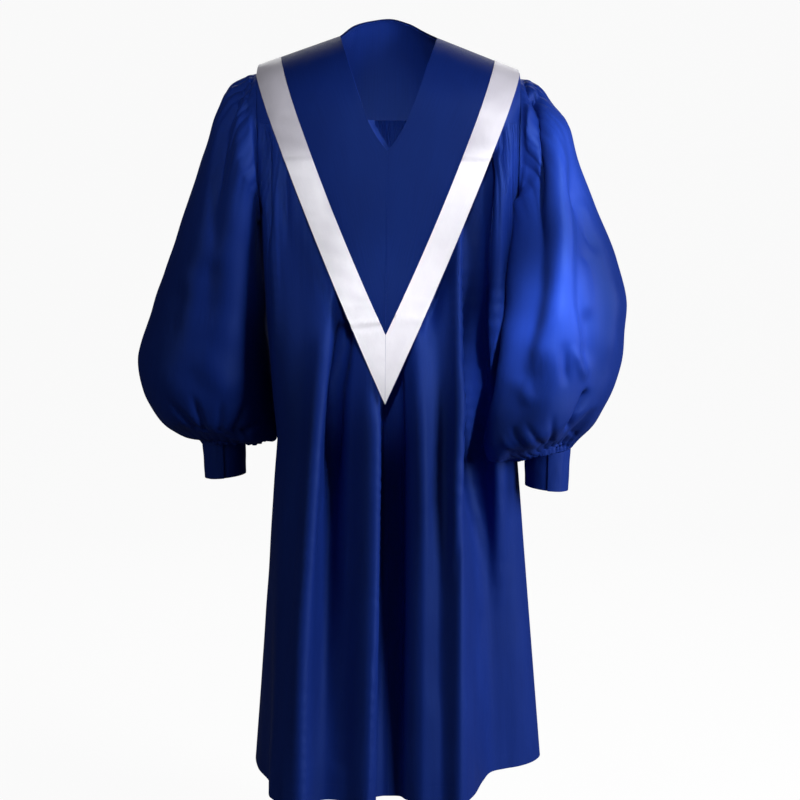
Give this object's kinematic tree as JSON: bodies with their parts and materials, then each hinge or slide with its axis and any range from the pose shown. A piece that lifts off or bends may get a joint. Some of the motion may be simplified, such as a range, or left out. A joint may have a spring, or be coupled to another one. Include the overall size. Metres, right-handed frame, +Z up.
{
  "type": "choir robe",
  "caption": "Long open-ended robe with full gathered sleeves and narrow cuffs, worn with a V-shaped stole edged with satin bands.",
  "frame": {"origin": "between the two neck points of the robe, at the height of the shoulders, where the wearer holds it up", "axes": "+Z up, +X to the viewer's right when looking at the front, +Y to the back of the garment"},
  "size_m": [0.78, 0.4544, 1.1944],
  "materials": {
    "robe_cloth": "soft sheen, royal blue",
    "stole_cloth": "soft sheen, royal blue",
    "band_satin": "satin, silver white"
  },
  "bodies": {
    "root": {"back_yoke": "robe_cloth", "front_yoke_left": "robe_cloth", "front_yoke_right": "robe_cloth", "back_panel": "robe_cloth", "front_left": "robe_cloth", "front_right": "robe_cloth", "sleeve_left": "robe_cloth", "sleeve_right": "robe_cloth", "cuff_left": "robe_cloth", "cuff_right": "robe_cloth", "stole_front_left": "stole_cloth", "stole_front_right": "stole_cloth", "stole_back": "stole_cloth", "band_front_left": "band_satin", "band_front_right": "band_satin", "band_back_left": "band_satin", "band_back_right": "band_satin"}
  },
  "joints": []
}
